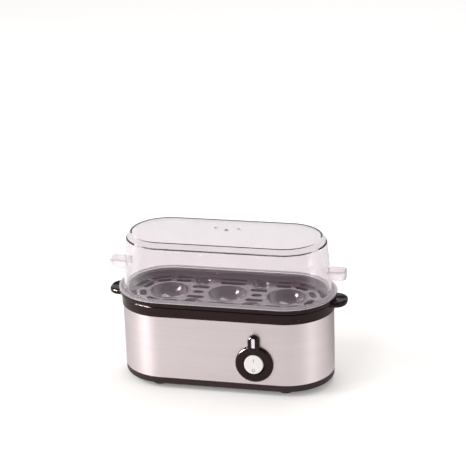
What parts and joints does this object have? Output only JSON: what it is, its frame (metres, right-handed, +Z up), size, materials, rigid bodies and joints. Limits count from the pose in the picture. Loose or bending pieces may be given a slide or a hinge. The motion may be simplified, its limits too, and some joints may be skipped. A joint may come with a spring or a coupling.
{
  "type": "electric egg cooker",
  "caption": "Oblong tabletop egg steamer: black base pan, brushed steel sleeve with a round tip switch, black collar, heating bowl, cupped egg tray and tall clear lid.",
  "frame": {"origin": "centre of the bounding box on the table plane under the feet", "axes": "+Z up; the long side lies along X; the front with the switch looks towards -Y; the mains entry looks towards +Y"},
  "size_m": [0.235, 0.1039, 0.1476],
  "materials": {
    "black_plastic": "polished moulded heat-resistant plastic",
    "brushed_steel": "fine brushing along the sleeve's length",
    "clear_plastic": "clear moulded plastic",
    "tray_plastic": "glossy violet-grey moulded plastic",
    "bowl_aluminium": "satin pressed sheet",
    "silicone": "soft moulded silicone",
    "foot_rubber": "matte moulded rubber",
    "button_plastic": "glossy white moulded plastic",
    "lens_plastic": "frosted clear plastic",
    "neon_glass": "clear glass",
    "element_aluminium": "drawn tube",
    "zinc_steel": "zinc plated",
    "stainless_steel": "plain sheet",
    "switch_plastic": "matte moulded plastic",
    "white_plastic": "matte moulded plastic",
    "brass": "plain"
  },
  "bodies": {
    "base": {"base_pan": "black_plastic", "feet": "foot_rubber", "steel_sleeve": "brushed_steel", "rim_collar": "black_plastic", "bowl_seal": "silicone", "heating_bowl": "bowl_aluminium", "heating_element": "element_aluminium", "clamp_bars": "zinc_steel", "clamp_nuts": "zinc_steel", "thermostat_strap": "stainless_steel", "thermostat": "switch_plastic", "thermal_fuse": "zinc_steel", "fuse_clip": "stainless_steel", "control_bezel": "black_plastic", "bezel_screws": "zinc_steel", "switch_body": "switch_plastic", "rocker_pin": "stainless_steel", "switch_terminals": "brass", "pilot_lens": "lens_plastic", "neon_lamp": "neon_glass", "lamp_holder": "white_plastic", "cord_gland": "foot_rubber", "gland_nut": "switch_plastic", "cord_clamp": "white_plastic", "clamp_screws": "zinc_steel", "terminal_block": "white_plastic", "block_screws": "brass", "base_screws": "zinc_steel"},
    "tray": {"egg_tray": "tray_plastic"},
    "cover": {"lid": "clear_plastic", "lid_tabs": "clear_plastic"},
    "button": {"switch_rocker": "button_plastic"}
  },
  "joints": [
    {"name": "tray_lift", "type": "slide", "parent": "base", "child": "tray", "axis": [0, 0, 1], "range_m": [0, 0.05]},
    {"name": "lid_lift", "type": "slide", "parent": "tray", "child": "cover", "axis": [0, 0, 1], "range_m": [0, 0.12]},
    {"name": "rocker_tilt", "type": "hinge", "parent": "base", "child": "button", "pos_m": [0.0355, -0.0446, 0.0335], "axis": [1, 0, 0], "range_deg": [0, 16]}
  ]
}
